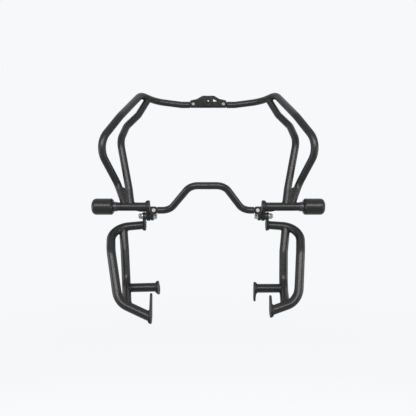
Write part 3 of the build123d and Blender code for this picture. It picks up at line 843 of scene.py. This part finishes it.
class CRASHBARS_OT_coat_steel(bpy.types.Operator):
    """Powder coats the tubes, plates, brackets and lugs"""

    bl_idname = "crashbars.coat_steel"
    bl_label = "Coat Steel"

    def execute(self, context):
        for node in slot_nodes("coated_steel"):
            # Plates and lugs get the flat coat, whose darker colour is painted shade
            dress(node, satin_tube_coat if node.name.endswith("_tube") else matt_shaded_flat_coat)
        dress(NODES["centre_bracket"], cast_bracket_coat)
        return {"FINISHED"}


class CRASHBARS_OT_finish_sliders(bpy.types.Operator):
    """Gives the pucks their turned plastic and the collars their anodised finish"""

    bl_idname = "crashbars.finish_sliders"
    bl_label = "Finish Sliders"

    def execute(self, context):
        for node in slot_nodes("slider_plastic"):
            dress(node, turned_black_plastic)
        for node in slot_nodes("slider_collar"):
            dress(node, black_anodised_collar)
        return {"FINISHED"}


class CRASHBARS_OT_plate_fasteners(bpy.types.Operator):
    """Zinc plates the bolts, screws, nuts and plugs, and blackens the small washers and the spacers"""

    bl_idname = "crashbars.plate_fasteners"
    bl_label = "Plate Fasteners"

    def execute(self, context):
        for node in slot_nodes("zinc_steel"):
            # The centre screws and nuts get the darker zinc, whose colour is painted shade
            dress(node, shaded_dull_zinc_plate if node.name.startswith("centre_") else bright_zinc_plate)
        for node in slot_nodes("black_steel"):
            dress(node, blackened_steel)
        return {"FINISHED"}


class CRASHBARS_OT_cut_threads(bpy.types.Operator):
    """Winds a thread on each screw end that stands out of its nut"""

    bl_idname = "crashbars.cut_threads"
    bl_label = "Cut Threads"

    def execute(self, context):
        fasteners = context.scene.crash_fasteners
        depth = fasteners.thread_depth
        bolt_low, bolt_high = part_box("joint_bolts")
        nut_low, nut_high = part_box("joint_nuts")
        joint_y = (bolt_low[1] + bolt_high[1]) / 2
        joint_z = (bolt_low[2] + bolt_high[2]) / 2
        for side, nut_x, tip_x in zip(SIDES, (nut_low[0], nut_high[0]), (bolt_low[0], bolt_high[0])):
            start = Vector((nut_x, joint_y, joint_z))
            end = Vector((tip_x, joint_y, joint_z))
            name = f"joint_{side}_thread"
            wind_thread(name, start, end, JOINT_SHANK_R, fasteners.joint_pitch, depth, bright_zinc_plate)
        screw_low, screw_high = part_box("centre_screws")
        nut_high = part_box("centre_nuts")[1]
        centre_z = (screw_low[2] + screw_high[2]) / 2
        head_corner = (screw_high[2] - screw_low[2]) / sqrt(3)
        for side, x in zip(SIDES, (screw_low[0] + head_corner, screw_high[0] - head_corner)):
            start = Vector((x, nut_high[1], centre_z))
            end = Vector((x, screw_high[1], centre_z))
            name = f"centre_{side}_thread"
            wind_thread(name, start, end, CENTRE_SHANK_R, fasteners.centre_pitch, depth, shaded_dull_zinc_plate)
        return {"FINISHED"}


class CRASHBARS_OT_lay_weld_beads(bpy.types.Operator):
    """Lays a rippled bead along every welded joint"""

    bl_idname = "crashbars.lay_weld_beads"
    bl_label = "Lay Weld Beads"

    def execute(self, context):
        welds = context.scene.crash_welds
        for side in SIDES:
            upper = f"upper_{side}"
            lower = f"lower_{side}"
            cross = f"{side}_cross_tube"
            outer = f"{upper}_outer_tube"
            inner = f"{upper}_inner_tube"
            weld_rims(outer, [cross], f"{upper}_outer_weld", welds)
            weld_rims(inner, [cross, outer], f"{upper}_inner_weld", welds)
            weld_rims(f"{upper}_web", [cross, outer, inner], f"{upper}_web_weld", welds)
            weld_rims(f"{lower}_inner_tube", [f"{lower}_outer_tube"], f"{lower}_inner_weld", welds)
            weld_rims(f"{lower}_branch_tube", [f"{lower}_inner_tube"], f"{lower}_branch_weld", welds)
            weld_skirt(cross, f"{upper}_mount_plate", side, f"{upper}_plate_weld", welds)
            weld_skirt(f"{lower}_outer_tube", f"{lower}_top_plate", side, f"{lower}_top_weld", welds)
            weld_skirt(f"{lower}_outer_tube", f"{lower}_bottom_plate", side, f"{lower}_bottom_weld", welds)
            weld_skirt(f"{lower}_branch_tube", f"{lower}_mid_plate", side, f"{lower}_mid_weld", welds)
        weld_boss("centre_boss_weld", welds)
        return {"FINISHED"}


class CRASHBARS_OT_set_stage(bpy.types.Operator):
    """Puts up the floor, the soft lights and the camera"""

    bl_idname = "crashbars.set_stage"
    bl_label = "Set Stage"

    def execute(self, context):
        stage = context.scene.crash_stage
        lay_floor(stage)
        hang_lights(stage)
        light_world(stage)
        place_camera(stage)
        context.scene.view_settings.view_transform = "Standard"
        return {"FINISHED"}


class CRASHBARS_PT_panel(bpy.types.Panel):
    """The crash bars' tools in the sidebar"""

    bl_label = "Crash Bars"
    bl_idname = "CRASHBARS_PT_panel"
    bl_space_type = "VIEW_3D"
    bl_region_type = "UI"
    bl_category = "Crash Bars"

    def draw(self, context):
        for operator in OPERATORS:
            self.layout.operator(operator.bl_idname)
        for name, group_class in SETTINGS.items():
            box = self.layout.box()
            box.label(text=name.removeprefix("crash_").capitalize())
            for field in group_class.__annotations__:
                box.prop(getattr(context.scene, name), field)


OPERATORS = (
    CRASHBARS_OT_coat_steel,
    CRASHBARS_OT_finish_sliders,
    CRASHBARS_OT_plate_fasteners,
    CRASHBARS_OT_cut_threads,
    CRASHBARS_OT_lay_weld_beads,
    CRASHBARS_OT_set_stage,
)
CLASSES = (*SETTINGS.values(), *OPERATORS, CRASHBARS_PT_panel)


def register():
    for item in CLASSES:
        bpy.utils.register_class(item)
    for name, group_class in SETTINGS.items():
        setattr(bpy.types.Scene, name, bpy.props.PointerProperty(type=group_class))


def unregister():
    for name in SETTINGS:
        delattr(bpy.types.Scene, name)
    for item in reversed(CLASSES):
        bpy.utils.unregister_class(item)


def main():
    register()
    bpy.ops.crashbars.coat_steel()
    bpy.ops.crashbars.finish_sliders()
    bpy.ops.crashbars.plate_fasteners()
    bpy.ops.crashbars.cut_threads()
    bpy.ops.crashbars.lay_weld_beads()
    bpy.ops.crashbars.set_stage()


if __name__ == "__main__":
    main()
